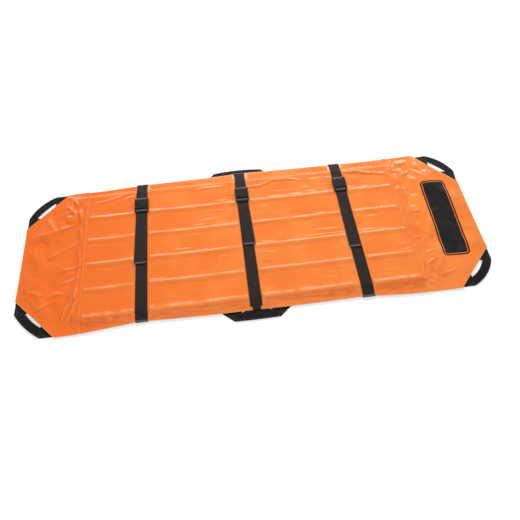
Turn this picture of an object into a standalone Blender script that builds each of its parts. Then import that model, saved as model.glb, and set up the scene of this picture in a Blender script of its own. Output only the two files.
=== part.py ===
"""Flexible transport stretcher: vinyl sheets sewn into lengthwise slat pockets, with an end flap beyond each
cross seam, webbing carrying handles and buckled patient straps.

Metres, +Z up. X runs along the stretcher and Y across it, towards the far edge. The origin is on the ground
under the middle. The deck is built in columns, one for each slat pocket, because it folds along their seams.
"""
import math

import bmesh
import bpy
from mathutils import Vector

# Deck, seen from above
POCKET_LENGTH = 1.388
LEFT_FLAP = 0.271
RIGHT_FLAP = 0.317
COLUMN = 0.119
MARGIN = 0.0475
FLARE = 0.010
CHAMFER_ALONG = 0.169
CHAMFER_ACROSS = 0.171

# Deck, in section
SHEET = 0.0013
SLAT_THICK = 0.0127
SLAT_SIDE_ROOM = 0.0035
SLAT_END_ROOM = 0.014
SLAT_ROUND = 0.003
DROP_RUN = 0.055
DROP_LEAD = 0.003
BASE_RAMP = 0.008
CLEAR = 0.0003

# Carrying handles
HANDLE_WEB = 0.038
HANDLE_THICK = 0.0025
CORNER_CHORD = 0.236
CORNER_REACH = 0.058
CORNER_SHOULDER = 0.078
CORNER_BOW = 0.018
CORNER_GAP = 0.110
SIDE_CHORD = 0.273
SIDE_REACH = 0.0465
SIDE_SHOULDER = 0.091
SIDE_BOW = 0.001
SIDE_GAP = 0.120

# Patient straps
STRAP_WEB = 0.050
STRAP_THICK = 0.0018
STRAP_SPACING = 0.4555
ANCHOR_FOLD = 0.012
ANCHOR_UNDER = 0.038
TAIL_ENDS = {"left": -0.077, "middle": -0.043, "right": -0.113}
SEWN_LAP = 0.022

# Buckles
BUCKLE_THICK = 0.011
BUCKLE_WIDTH = 0.060
BUCKLE_INSET = 0.0075
PLUG_LENGTH = 0.028
SOCKET_LENGTH = 0.0475
SLOT_RUN = 0.005
BAR = 0.0045
BAR_HEIGHT = 0.0055
SHELL = 0.0016
SIDE_WALL = 0.0037
CAVITY_DEPTH = 0.0335
WINDOW_START = 0.0095
WINDOW_LENGTH = 0.0165
TONGUE_WIDTH = 0.009
TONGUE_LENGTH = 0.026
PRONG_WIDTH = 0.0046
PRONG_OFFSET = 0.0165
PRONG_LENGTH = 0.030
EDGE_ROUND = 0.0008

# Heights and edges that follow from the sizes above
TOP = SHEET + CLEAR + SLAT_THICK + CLEAR + SHEET
EDGE_BASE = STRAP_THICK + CLEAR
EDGE_TOP = EDGE_BASE + SHEET + CLEAR + SHEET
FLAP_THICK = 2.0 * SHEET
FIELD_HALF = 2.5 * COLUMN
SIDE_HALF = FIELD_HALF + MARGIN
FLAP_HALF = SIDE_HALF + FLARE
SLOPE = (TOP - EDGE_TOP) / MARGIN
RIGHT_END = (LEFT_FLAP + POCKET_LENGTH + RIGHT_FLAP) / 2.0
LEFT_END = -RIGHT_END
LEFT_SEAM = LEFT_END + LEFT_FLAP
RIGHT_SEAM = RIGHT_END - RIGHT_FLAP
MIDDLE_X = (LEFT_SEAM + RIGHT_SEAM) / 2.0
WEB_LOW = TOP + CLEAR + STRAP_THICK / 2.0
WEB_HIGH = WEB_LOW + STRAP_THICK + CLEAR
BUCKLE_BASE = TOP + CLEAR + STRAP_THICK + CLEAR
PLUG_NEAR = 1.5 * COLUMN + BUCKLE_INSET
PLUG_FAR = PLUG_NEAR + PLUG_LENGTH
SOCKET_NEAR = PLUG_FAR + 2.0 * CLEAR
SOCKET_FAR = SOCKET_NEAR + SOCKET_LENGTH
SLOT_HALF = STRAP_WEB / 2.0 + 0.001

# Each column's place counted from the middle one, and each strap's
COLUMNS = {name: 2 - k for k, name in enumerate(("outer_far", "inner_far", "centre", "inner_near", "outer_near"))}
STRAPS = {name: k - 1 for k, name in enumerate(("left", "middle", "right"))}

for leftover in list(bpy.data.objects):
    bpy.data.objects.remove(leftover, do_unlink=True)

parts = bpy.data.collections.new("transport_stretcher")
cutters = bpy.data.collections.new("cutters")
for collection in (parts, cutters):
    bpy.context.scene.collection.children.link(collection)


def make_material(name, colour, roughness):
    made = bpy.data.materials.new(name)
    made.use_nodes = True
    shader = made.node_tree.nodes["Principled BSDF"]
    shader.inputs["Base Color"].default_value = (*colour, 1.0)
    shader.inputs["Roughness"].default_value = roughness
    shader.inputs["Metallic"].default_value = 0.0
    return made


vinyl = make_material("orange_vinyl", (0.92, 0.24, 0.055), 0.32)
backing = make_material("vinyl_underside", (0.70, 0.19, 0.05), 0.55)
plywood = make_material("slat_plywood", (0.62, 0.44, 0.26), 0.60)
webbing = make_material("black_webbing", (0.028, 0.026, 0.027), 0.75)
plastic = make_material("buckle_plastic", (0.045, 0.045, 0.047), 0.40)


def make_pivot(name, location, turn=0.0, parent=None):
    """An empty on a joint's axis; turn is its heading about Z."""
    pivot = bpy.data.objects.new(name, None)
    parts.objects.link(pivot)
    pivot.empty_display_size = 0.03
    pivot.rotation_euler = (0.0, 0.0, turn)
    if parent:
        pivot.parent = parent
        location = Vector(location) - parent.matrix_world.translation
    pivot.location = location
    bpy.context.view_layer.update()
    return pivot


def add_part(name, mesh, material, pivot=None, collection=parts):
    """Puts a mesh in the scene. Its points are measured from its pivot, or from the ground without one."""
    part = bpy.data.objects.new(name, mesh)
    collection.objects.link(part)
    if material and not mesh.materials:
        mesh.materials.append(material)
    part.parent = pivot
    return part


def deck_top(y):
    """Height of the deck's upper face at this distance across."""
    beyond = max(0.0, min(abs(y), SIDE_HALF) - FIELD_HALF)
    return TOP - SLOPE * beyond


def base_under(y):
    """Height of the base sheet's lower face: on the ground, then raised over the strap ends in the margin."""
    return EDGE_BASE * max(0.0, min(1.0, (abs(y) - FIELD_HALF) / BASE_RAMP))


def sheet_mesh(name, us, vs, place, origin=(0, 0, 0), mirrored=False):
    """A grid over the values us and vs, put in place by a function, for Solidify to thicken."""
    grid = bmesh.new()
    bmesh.ops.create_grid(grid, x_segments=len(us) - 1, y_segments=len(vs) - 1, size=1.0)
    start = Vector(origin)
    for vert in grid.verts:
        i = round((vert.co.x + 1.0) / 2.0 * (len(us) - 1))
        j = round((vert.co.y + 1.0) / 2.0 * (len(vs) - 1))
        vert.co = Vector(place(us[i], vs[j])) - start
    if mirrored:
        bmesh.ops.reverse_faces(grid, faces=grid.faces)
    mesh = bpy.data.meshes.new(name)
    grid.to_mesh(mesh)
    grid.free()
    return mesh


def thicken(part, thickness, offset):
    solid = part.modifiers.new("thickness", "SOLIDIFY")
    solid.thickness = thickness
    solid.offset = offset
    solid.use_even_offset = True


def box_mesh(name, low, high, rounding=0.0):
    """A box between two corners, made from a cube primitive, with its edges rounded if asked."""
    cube = bmesh.new()
    bmesh.ops.create_cube(cube, size=1.0)
    low, high = Vector(low), Vector(high)
    for vert in cube.verts:
        vert.co = Vector(
            (low[k] + high[k]) / 2.0 + vert.co[k] * (high[k] - low[k]) for k in range(3)
        )
    if rounding:
        bmesh.ops.bevel(
            cube, geom=cube.edges[:], offset=rounding, segments=2, profile=0.5, affect="EDGES"
        )
    mesh = bpy.data.meshes.new(name)
    cube.to_mesh(mesh)
    cube.free()
    return mesh


def outline_mesh(name, points, low, high):
    """A flat outline in the XY plane, filled and extruded between two heights, as a welded mesh."""
    curve = bpy.data.curves.new(name, "CURVE")
    curve.dimensions = "2D"
    curve.fill_mode = "BOTH"
    curve.extrude = (high - low) / 2.0
    spline = curve.splines.new("POLY")
    spline.points.add(len(points) - 1)
    for point, (x, y) in zip(spline.points, points):
        point.co = (x, y, 0.0, 1.0)
    spline.use_cyclic_u = True
    flat = bpy.data.objects.new(name, curve)
    parts.objects.link(flat)
    flat.location.z = (low + high) / 2.0
    bpy.context.view_layer.update()
    mesh = bpy.data.meshes.new_from_object(flat.evaluated_get(bpy.context.evaluated_depsgraph_get()))
    mesh.transform(flat.matrix_world)
    bpy.data.objects.remove(flat, do_unlink=True)
    bpy.data.curves.remove(curve)
    welded = bmesh.new()
    welded.from_mesh(mesh)
    bmesh.ops.remove_doubles(welded, verts=welded.verts, dist=1e-6)
    bmesh.ops.recalc_face_normals(welded, faces=welded.faces)
    welded.to_mesh(mesh)
    welded.free()
    return mesh


def combine(part, mesh, operation):
    """Cuts a mesh from a part, or joins it on, with an exact Boolean."""
    cutter = add_part(mesh.name, mesh, None, collection=cutters)
    cutter.hide_render = True
    cutter.display_type = "WIRE"
    boolean = part.modifiers.new(mesh.name, "BOOLEAN")
    boolean.operation = operation
    boolean.solver = "EXACT"
    boolean.object = cutter


# Pivots: each column folds about a line on the deck's upper face, over the seam nearer the middle
folds = {"centre": None}
for name, parent in (("inner_far", None), ("outer_far", "inner_far")):
    folds[name] = make_pivot("fold_" + name, (MIDDLE_X, (COLUMNS[name] - 0.5) * COLUMN, TOP),
                             parent=folds.get(parent))
for name, parent in (("inner_near", None), ("outer_near", "inner_near")):
    folds[name] = make_pivot("fold_" + name, (MIDDLE_X, (COLUMNS[name] + 0.5) * COLUMN, TOP),
                             parent=folds.get(parent))


def origin_of(pivot):
    return pivot.matrix_world.translation if pivot else Vector((0.0, 0.0, 0.0))


# Slat pockets: a slat between a base sheet and a top sheet in each column
for name, step in COLUMNS.items():
    pivot = folds[name]
    start = origin_of(pivot)
    centre_y = step * COLUMN
    half = COLUMN / 2.0 - SLAT_SIDE_ROOM
    slat = box_mesh(
        "slat_" + name,
        Vector((LEFT_SEAM + SLAT_END_ROOM, centre_y - half, SHEET + CLEAR)) - start,
        Vector((RIGHT_SEAM - SLAT_END_ROOM, centre_y + half, SHEET + CLEAR + SLAT_THICK)) - start,
        SLAT_ROUND,
    )
    add_part("slat_" + name, slat, plywood, pivot)

    near = centre_y - COLUMN / 2.0 + CLEAR / 2.0
    far = centre_y + COLUMN / 2.0 - CLEAR / 2.0
    rows = [near, far]
    if step == 2:
        rows = [near, FIELD_HALF, FIELD_HALF + BASE_RAMP, SIDE_HALF]
    if step == -2:
        rows = [-SIDE_HALF, -FIELD_HALF - BASE_RAMP, -FIELD_HALF, far]
    ends = [LEFT_SEAM + CLEAR / 2.0, RIGHT_SEAM - CLEAR / 2.0]
    for kind, level, material in (
        ("top_sheet_", deck_top, vinyl),
        ("base_sheet_", lambda y: base_under(y) + SHEET, backing),
    ):
        mesh = sheet_mesh(kind + name, ends, rows, lambda x, y: (x, y, level(y)), start)
        thicken(add_part(kind + name, mesh, material, pivot), SHEET, -1.0)

# End flaps: a double sheet beyond each cross seam, in one strip for each column, with cut corners
hinges = {}
for end, seam, tip, side in (("left", LEFT_SEAM, LEFT_END, -1), ("right", RIGHT_SEAM, RIGHT_END, 1)):
    length = abs(tip - seam)
    corner = length - CHAMFER_ALONG

    def flap_point(along, across, seam=seam, side=side, length=length, corner=corner):
        """along is a distance from the seam and a share of what is left from there to the tip or the cut
        corner; across is the distance from the middle, stretched so that its outermost row is the edge."""
        cut = max(0.0, abs(across) - (FLAP_HALF - CHAMFER_ACROSS)) / CHAMFER_ACROSS
        fixed, share = along
        reach = fixed + share * (length - cut * CHAMFER_ALONG - fixed)
        edge = SIDE_HALF + FLARE * min(1.0, reach / corner)
        inner = 1.5 * COLUMN
        y = abs(across)
        if y > inner:
            y = inner + (y - inner) * (edge - inner) / (FLAP_HALF - inner)
        drop = 1.0 - max(0.0, min(1.0, (reach - DROP_LEAD) / DROP_RUN))
        z = FLAP_THICK + (deck_top(y) - FLAP_THICK) * drop
        return (seam + side * reach, math.copysign(y, across), z)

    for name, step in COLUMNS.items():
        hinge = make_pivot("%s_flap_hinge_%s" % (end, name), (seam, step * COLUMN, TOP), parent=folds[name])
        hinges[end, name] = hinge
        near = (step - 0.5) * COLUMN + CLEAR / 2.0
        far = (step + 0.5) * COLUMN - CLEAR / 2.0
        if step == 2:
            far = FLAP_HALF
        if step == -2:
            near = -FLAP_HALF
        # The sheet bends along its slat field's edges and where a cut corner starts
        bends = [FIELD_HALF, FLAP_HALF - CHAMFER_ACROSS]
        bends += [-bend for bend in bends]
        rows = [near] + sorted(bend for bend in bends if near + CLEAR < bend < far - CLEAR) + [far]
        level = DROP_LEAD + DROP_RUN
        run = [(CLEAR / 2.0, 0.0), (DROP_LEAD, 0.0), (level, 0.0), (level, 0.5), (level, 1.0)]
        mesh = sheet_mesh(
            "%s_flap_%s" % (end, name), run, rows, flap_point, origin_of(hinge), side < 0
        )
        thicken(add_part("%s_flap_%s" % (end, name), mesh, vinyl, hinge), FLAP_THICK, -1.0)


def handle_outline(chord, reach, shoulder, bow, gap):
    """A bowed webbing loop on the XY plane. Its feet lie on Y = 0, and the gap for the hand is open there."""
    def crest(x):
        return reach - bow * (x / shoulder) ** 2

    steps = 8
    across = [shoulder * (2.0 * k / steps - 1.0) for k in range(steps + 1)]
    points = [(-chord / 2.0, CLEAR)] + [(x, crest(x)) for x in across] + [(chord / 2.0, CLEAR)]
    inside = [gap / 2.0 * (1.0 - 2.0 * k / steps) * 0.88 for k in range(steps + 1)]
    points += [(gap / 2.0, CLEAR)]
    points += [(x, max(2.0 * CLEAR, crest(x) - HANDLE_WEB)) for x in inside]
    points += [(-gap / 2.0, CLEAR)]
    return points


# Corner handles, each hinged on the cut corner of a flap
corner_outline = handle_outline(CORNER_CHORD, CORNER_REACH, CORNER_SHOULDER, CORNER_BOW, CORNER_GAP)
for end, side in (("left", -1), ("right", 1)):
    for edge, across in (("far", 1), ("near", -1)):
        middle = Vector((
            side * (RIGHT_END - CHAMFER_ALONG / 2.0),
            across * (FLAP_HALF - CHAMFER_ACROSS / 2.0),
            FLAP_THICK,
        ))
        outward = math.atan2(across * CHAMFER_ALONG, side * CHAMFER_ACROSS)
        hinge = hinges[end, "outer_" + edge]
        pivot = make_pivot("handle_hinge_%s_%s" % (end, edge), middle, outward - math.pi / 2.0, hinge)
        name = "handle_%s_%s" % (end, edge)
        mesh = outline_mesh(name, corner_outline, -FLAP_THICK, HANDLE_THICK - FLAP_THICK)
        add_part(name, mesh, webbing, pivot)

# Side handles, each hinged on the middle of a long edge
side_outline = handle_outline(SIDE_CHORD, SIDE_REACH, SIDE_SHOULDER, SIDE_BOW, SIDE_GAP)
for edge, across in (("far", 1), ("near", -1)):
    turn = 0.0 if across > 0 else math.pi
    where = (MIDDLE_X, across * SIDE_HALF, EDGE_TOP)
    pivot = make_pivot("handle_hinge_side_" + edge, where, turn, folds["outer_" + edge])
    mesh = outline_mesh("handle_side_" + edge, side_outline, -EDGE_TOP, HANDLE_THICK - EDGE_TOP)
    add_part("handle_side_" + edge, mesh, webbing, pivot)


def strap_part(name, path, centre_x, pivot):
    """A stretch of strap webbing along a path of (y, z) points through the middle of its thickness."""
    half = STRAP_WEB / 2.0
    mesh = sheet_mesh(
        name, [-half, half], list(range(len(path))), lambda x, k: (centre_x + x, *path[k]),
        origin_of(pivot),
    )
    thicken(add_part(name, mesh, webbing, pivot), STRAP_THICK, 0.0)


def on_margin(y):
    """Height of the middle of webbing that lies on the sloping margin."""
    return deck_top(y) + (CLEAR + STRAP_THICK / 2.0) * math.hypot(1.0, SLOPE)


def arc(y, z, radius, start, end):
    """Points round a quarter turn, from one angle to another in degrees."""
    angles = [math.radians(start + (end - start) * k / 3.0) for k in range(4)]
    return [(y + radius * math.cos(a), z + radius * math.sin(a)) for a in angles]


def round_bar(bar_y, bar_z, half_y, half_z, start_z, end_z):
    """Webbing that comes in at start_z, rises on the far side of a bar, passes over it and comes down on the
    near side to end_z."""
    bend = CLEAR + STRAP_THICK / 2.0
    far = bar_y + half_y
    near = bar_y - half_y
    return (
        arc(far, start_z + bend, bend, -90.0, 0.0) + arc(far, bar_z + half_z, bend, 0.0, 90.0)
        + arc(near, bar_z + half_z, bend, 90.0, 180.0)
        + arc(near - 2.0 * bend, end_z + bend, bend, 0.0, -90.0)
    )


plug_bar_y = PLUG_NEAR + BAR + SLOT_RUN + BAR / 2.0
socket_bar_y = SOCKET_FAR - BAR / 2.0
bar_z = BUCKLE_BASE + BAR_HEIGHT / 2.0

# The webbing wraps round the deck's edge: under the margin, round it, and onto its slope
low = STRAP_THICK / 2.0
high = EDGE_TOP + CLEAR + STRAP_THICK / 2.0
turn_radius = (high - low) / 2.0
wrap = [(SIDE_HALF - ANCHOR_UNDER, low)]
for k in range(9):
    angle = -math.pi / 2.0 + math.pi * k / 8.0
    wrap.append((
        SIDE_HALF + CLEAR + turn_radius * math.cos(angle),
        low + turn_radius + turn_radius * math.sin(angle),
    ))
wrap.append((SIDE_HALF - ANCHOR_FOLD, on_margin(SIDE_HALF - ANCHOR_FOLD)))

fold_start = SIDE_HALF - ANCHOR_FOLD - 2.0 * CLEAR
short_path = round_bar(-socket_bar_y, bar_z, BAR / 2.0, BAR_HEIGHT / 2.0, WEB_LOW, WEB_HIGH)
short_path = [(-fold_start, on_margin(fold_start)), (-FIELD_HALF, WEB_LOW)] + short_path
short_path.append((short_path[-1][0] - SEWN_LAP, WEB_HIGH))
short_path = [(-y, z) for y, z in short_path]

for name, step in STRAPS.items():
    centre_x = MIDDLE_X + step * STRAP_SPACING
    far_wrap = list(reversed(wrap))
    strap_part("strap_%s_far_anchor" % name, far_wrap, centre_x, folds["outer_far"])
    near_wrap = [(-y, z) for y, z in wrap]
    strap_part("strap_%s_near_anchor" % name, near_wrap, centre_x, folds["outer_near"])
    strap_part("strap_%s_short" % name, short_path, centre_x, folds["outer_far"])
    long_path = [(-fold_start, on_margin(fold_start)), (-FIELD_HALF, WEB_LOW)]
    long_path += round_bar(plug_bar_y, bar_z, BAR / 2.0, BAR_HEIGHT / 2.0, WEB_LOW, WEB_HIGH)
    long_path.append((TAIL_ENDS[name], WEB_HIGH))
    strap_part("strap_%s_long" % name, long_path, centre_x, None)


def rounded_outline(width, near, far, corner, taper=0.0):
    """A rectangle across X with rounded corners; taper narrows its near end on each side."""
    points = []
    for cx, cy, start, inset in (
        (1, far, 0.0, 0.0), (-1, far, 90.0, 0.0), (-1, near, 180.0, taper), (1, near, 270.0, taper)
    ):
        middle_x = cx * (width / 2.0 - corner - inset)
        middle_y = cy + (corner if cy == near else -corner)
        for k in range(4):
            angle = math.radians(start + 30.0 * k)
            points.append((middle_x + corner * math.cos(angle), middle_y + corner * math.sin(angle)))
    return points


def soften(part):
    """Rounds the upper and lower rims of a moulding before anything is cut from it."""
    bevel = part.modifiers.new("rounding", "BEVEL")
    bevel.width = EDGE_ROUND
    bevel.segments = 2
    bevel.limit_method = "ANGLE"
    bevel.angle_limit = math.radians(50.0)


def finished(part):
    """The mesh of a part with its modifiers applied, for its copies to share."""
    bpy.context.view_layer.update()
    mesh = bpy.data.meshes.new_from_object(part.evaluated_get(bpy.context.evaluated_depsgraph_get()))
    bpy.data.objects.remove(part, do_unlink=True)
    return mesh


# Buckle mouldings, measured from the middle of the strap and the buckle's base: Y = 0 at the plug's near end
plug_cut_far = 2.0 * BAR + 2.0 * SLOT_RUN
plug = add_part("plug", outline_mesh("plug", rounded_outline(BUCKLE_WIDTH, 0.0, PLUG_LENGTH, 0.004, 0.0012),
                                     0.0, BUCKLE_THICK), plastic)
soften(plug)
under_tail = WEB_HIGH + STRAP_THICK / 2.0 + CLEAR - BUCKLE_BASE
for label, y0, y1, z0, z1 in (
    ("tail_slot", BAR, BAR + SLOT_RUN, -0.002, BUCKLE_THICK + 0.002),
    ("loop_slot", 2.0 * BAR + SLOT_RUN, plug_cut_far, -0.002, BUCKLE_THICK + 0.002),
    ("above_bars", -0.002, plug_cut_far, BAR_HEIGHT, BUCKLE_THICK + 0.002),
    ("under_near_bar", -0.002, BAR + 0.001, -0.002, under_tail),
):
    combine(plug, box_mesh("plug_" + label, (-SLOT_HALF, y0, z0), (SLOT_HALF, y1, z1)), "DIFFERENCE")
half_tongue = TONGUE_WIDTH / 2.0
tongue = box_mesh(
    "plug_tongue",
    (-half_tongue, PLUG_LENGTH - 0.002, SHELL + 2.0 * CLEAR),
    (half_tongue, PLUG_LENGTH + TONGUE_LENGTH, BUCKLE_THICK - SHELL - 2.0 * CLEAR),
)
combine(plug, tongue, "UNION")
plug_mesh = finished(plug)

cavity_half = BUCKLE_WIDTH / 2.0 - SIDE_WALL
socket = add_part("socket", outline_mesh("socket", rounded_outline(BUCKLE_WIDTH, 0.0, SOCKET_LENGTH, 0.005),
                                         0.0, BUCKLE_THICK), plastic)
soften(socket)
rear = SOCKET_LENGTH - BAR - SLOT_RUN
for label, low_corner, high_corner in (
    ("cavity", (-cavity_half, -0.002, SHELL), (cavity_half, CAVITY_DEPTH, BUCKLE_THICK - SHELL)),
    ("windows", (-BUCKLE_WIDTH, WINDOW_START, SHELL + 0.0006),
     (BUCKLE_WIDTH, WINDOW_START + WINDOW_LENGTH, BUCKLE_THICK - SHELL - 0.0006)),
    ("rear_slot", (-SLOT_HALF, rear, -0.002), (SLOT_HALF, rear + SLOT_RUN, BUCKLE_THICK + 0.002)),
    ("above_bar", (-SLOT_HALF, rear, BAR_HEIGHT), (SLOT_HALF, SOCKET_LENGTH + 0.002, BUCKLE_THICK + 0.002)),
):
    combine(socket, box_mesh("socket_" + label, low_corner, high_corner), "DIFFERENCE")
socket_mesh = finished(socket)

# A prong: a round root on its hinge, an arm, and a button that fills the socket's side window
root = PRONG_WIDTH / 2.0
prong_y = PLUG_LENGTH + CLEAR + root
button = BUCKLE_WIDTH / 2.0 - PRONG_OFFSET - 0.0004
button_near = SOCKET_NEAR - PLUG_NEAR - prong_y + WINDOW_START + 0.0015
button_far = button_near + WINDOW_LENGTH - 0.003
prong_points = [(root * math.cos(math.radians(a)), root * math.sin(math.radians(a))) for a in range(180, 361, 30)]
prong_points += [
    (root, button_near - 0.004), (button - 0.003, button_near), (button, button_near + 0.003),
    (button, button_far - 0.0015), (button - 0.0015, button_far), (root + 0.001, PRONG_LENGTH - 0.002),
    (root - 0.0015, PRONG_LENGTH), (-root, PRONG_LENGTH),
]
prong_low = SHELL + 3.0 * CLEAR
prong_high = BUCKLE_THICK - SHELL - 3.0 * CLEAR
prong_right_mesh = outline_mesh("prong_right", prong_points, prong_low, prong_high)
prong_left_mesh = outline_mesh("prong_left", [(-x, y) for x, y in prong_points], prong_low, prong_high)

for name, step in STRAPS.items():
    centre_x = MIDDLE_X + step * STRAP_SPACING
    column = folds["outer_far"]
    seat = make_pivot("buckle_seat_" + name, (centre_x, PLUG_NEAR, BUCKLE_BASE), parent=column)
    add_part("strap_%s_plug" % name, plug_mesh, plastic, seat)
    slide = make_pivot("release_slide_" + name, (centre_x, SOCKET_NEAR, BUCKLE_BASE), parent=column)
    add_part("strap_%s_socket" % name, socket_mesh, plastic, slide)
    for hand, side, mesh in (("left", -1, prong_left_mesh), ("right", 1, prong_right_mesh)):
        where = (centre_x + side * PRONG_OFFSET, PLUG_NEAR + prong_y, BUCKLE_BASE)
        hinge = make_pivot("prong_hinge_%s_%s" % (name, hand), where, parent=column)
        add_part("strap_%s_prong_%s" % (name, hand), mesh, plastic, hinge)

for part in parts.objects:
    if part.type == "MESH" and not part.name.startswith(("top_sheet", "base_sheet")):
        part.data.shade_smooth()
        part.data.set_sharp_from_angle(angle=math.radians(35.0))
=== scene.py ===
import math

import bmesh
import bpy
import numpy as np
from mathutils import Matrix


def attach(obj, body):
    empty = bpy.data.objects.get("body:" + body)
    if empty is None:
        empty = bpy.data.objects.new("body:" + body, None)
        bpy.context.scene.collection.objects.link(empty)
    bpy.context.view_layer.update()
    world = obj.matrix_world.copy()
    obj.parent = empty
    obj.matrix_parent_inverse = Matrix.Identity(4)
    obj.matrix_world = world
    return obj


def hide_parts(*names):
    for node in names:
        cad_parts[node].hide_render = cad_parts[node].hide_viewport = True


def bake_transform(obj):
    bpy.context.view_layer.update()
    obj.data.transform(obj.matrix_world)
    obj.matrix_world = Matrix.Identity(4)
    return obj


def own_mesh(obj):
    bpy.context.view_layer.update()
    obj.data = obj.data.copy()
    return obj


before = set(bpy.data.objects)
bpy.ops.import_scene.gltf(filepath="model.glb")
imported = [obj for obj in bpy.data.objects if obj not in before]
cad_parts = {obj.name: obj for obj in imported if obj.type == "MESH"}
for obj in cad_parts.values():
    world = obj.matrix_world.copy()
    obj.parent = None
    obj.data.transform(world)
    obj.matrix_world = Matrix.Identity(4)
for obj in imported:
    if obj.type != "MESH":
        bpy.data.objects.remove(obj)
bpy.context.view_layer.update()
print("frame loaded")

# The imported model's own sizes, in metres: x runs along the stretcher and y across it, with the far side at +y
lay = {
    "leftEnd": -0.988, "rightEnd": 0.988, "leftSeam": -0.717, "rightSeam": 0.671, "middleX": -0.023,
    "column": 0.119, "innerSeam": 0.0595, "outerSeam": 0.1785, "fieldHalf": 0.2975, "sideHalf": 0.345,
    "flapHalf": 0.355, "cutAlong": 0.169, "cutAcross": 0.171, "top": 0.0159, "edgeTop": 0.0050, "edgeBase": 0.0021,
    "sheet": 0.0013, "flapThick": 0.0026, "clear": 0.0003, "web": 0.050, "webThick": 0.0018,
}
columns = {"outer_far": 2, "inner_far": 1, "centre": 0, "inner_near": -1, "outer_near": -2}
straps = {"left": -0.4785, "middle": -0.0230, "right": 0.4325}

view = {"focal": 445.74, "width": 520.0, "azimuth": -6.106, "elevation": 59.856, "roll": -1.299, "distance": 1.8929,
        "target": (0.0179, -0.1163, 0.0)}


def unit(vectors):
    return vectors / np.linalg.norm(vectors, axis=-1, keepdims=True)


def stand(data, right, up, back, place):
    # Puts a camera or a lamp at its place, with the directions of its right, its up and its back
    made = bpy.data.objects.new(data.name, data)
    bpy.context.scene.collection.objects.link(made)
    turn = np.eye(4)
    turn[:3] = np.stack([right, up, back, place], axis=1)
    made.matrix_world = Matrix(turn.tolist())
    return made


def placeCamera():
    # The camera looks back at its target from the azimuth and elevation, then turns about its own axis by the roll
    az, el, roll = (math.radians(view[k]) for k in ("azimuth", "elevation", "roll"))
    back = np.array([math.sin(az) * math.cos(el), -math.cos(az) * math.cos(el), math.sin(el)])
    right = unit(np.cross(-back, [0.0, 0.0, 1.0]))
    up = np.cross(right, -back)
    data = bpy.data.cameras.new("photoCamera")
    data.sensor_width = 36.0
    data.lens = view["focal"] / view["width"] * data.sensor_width
    data.clip_end = 60.0
    bpy.context.scene.camera = stand(data, math.cos(roll) * right + math.sin(roll) * up,
                                     math.cos(roll) * up - math.sin(roll) * right, back,
                                     np.array(view["target"]) + back * view["distance"])


placeCamera()
print("camera placed")


# Curves that the shapes are made from
def ease(t):
    # 0 below 0, 1 above 1, and between them 3 t squared less 2 t cubed
    t = np.clip(t, 0.0, 1.0)
    return t * t * (3.0 - 2.0 * t)


def bell(d, width):
    # e to the power of minus the square of d over width
    return np.exp(-(d / width) ** 2)


def bendAt(t, radius):
    # 0 on the left, t on the right, joined by a soft bend: radius times the logarithm of 1 plus e to t over radius
    return radius * np.logaddexp(0.0, t / radius)


def ripples(x, y, size, seed, along=1.0, waves=9):
    # A sum of sine waves with seeded headings and starts, each about one size long and stretched along x, whose
    # typical height is 1
    dice = np.random.default_rng(seed)
    total = 0.0
    for heading, start, scale in zip(dice.uniform(0, math.pi, waves), dice.uniform(0, 6.283, waves),
                                     dice.uniform(0.65, 1.5, waves)):
        total = total + np.sin(6.283 * (x * math.cos(heading) / along + y * math.sin(heading)) / (size * scale) + start)
    return total / math.sqrt(waves / 2.0)


def facets(x, y, size, seed, waves=7):
    # A sum of softened triangle waves, each the arc sine of 0.95 of a sine, with seeded headings and starts: flat
    # facets that meet in soft folds, of a typical height of 1
    dice = np.random.default_rng(seed)
    wx = x + 0.10 * size * ripples(x, y, 0.9 * size, seed + 50)
    wy = y + 0.10 * size * ripples(x, y, 0.9 * size, seed + 60)
    total = 0.0
    for heading, start, scale, beat in dice.uniform((0, 0, 0.6, 0), (math.pi, 6.283, 1.7, 6.283), (waves, 4)):
        turn = 6.283 * (wx * math.cos(heading) + wy * math.sin(heading)) / (size * scale) + start
        swell = 0.6 + 0.5 * np.sin(2.1 * (x - 0.6 * y) / size + beat)
        total = total + swell * np.arcsin(0.95 * np.sin(turn)) / 1.25
    return total / math.sqrt(waves / 3.0)


def softTable(xs, ys, spread=0.03):
    # Straight lines between the given points, smoothed by a running bell of that spread
    dense = np.linspace(-1.05, 1.05, 1401)
    step = dense[1] - dense[0]
    reach = int(3 * spread / step)
    kernel = bell(np.arange(-reach, reach + 1) * step, spread)
    padded = np.pad(np.interp(dense, xs, ys), reach, mode="edge")
    return dense, np.convolve(padded, kernel / kernel.sum(), mode="valid")


# The long edges, drawn in a little where the straps pull on them
edges = {
    "x": (-0.83, -0.76, -0.70, -0.60, -0.48, -0.38, -0.16, -0.02, 0.11, 0.43, 0.55, 0.67, 0.75, 0.83),
    "near": (0.357, 0.357, 0.353, 0.344, 0.333, 0.338, 0.343, 0.343, 0.345, 0.342, 0.352, 0.357, 0.357, 0.357),
    "far": (0.352, 0.349, 0.344, 0.349, 0.357, 0.358, 0.361, 0.367, 0.365, 0.362, 0.360, 0.364, 0.366, 0.366),
}
nearEdge = softTable(edges["x"], edges["near"])
farEdge = softTable(edges["x"], edges["far"])


def edgeAt(x, far):
    # Half width of the deck at x, on the far side or the near one
    return np.where(far, np.interp(x, *farEdge), np.interp(x, *nearEdge))


def endDistance(x):
    # Distance inwards from the nearer end
    return np.where(x > 0, lay["rightEnd"] - x, x - lay["leftEnd"])


def cutDistance(x, y):
    # Distance inwards from the straight edge that cuts the nearest corner off
    along, across = lay["cutAlong"], lay["cutAcross"]
    inside = endDistance(x) * across + (lay["flapHalf"] - np.abs(y)) * along - along * across
    return inside / math.hypot(along, across)


def edgeDistance(x, y):
    # Distance inwards from the outline: the least of those from the long edge, the end and the cut corner
    return np.minimum(np.minimum(edgeAt(x, y > 0) - np.abs(y), endDistance(x)), cutDistance(x, y))


farPull = 0.0115


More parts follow.
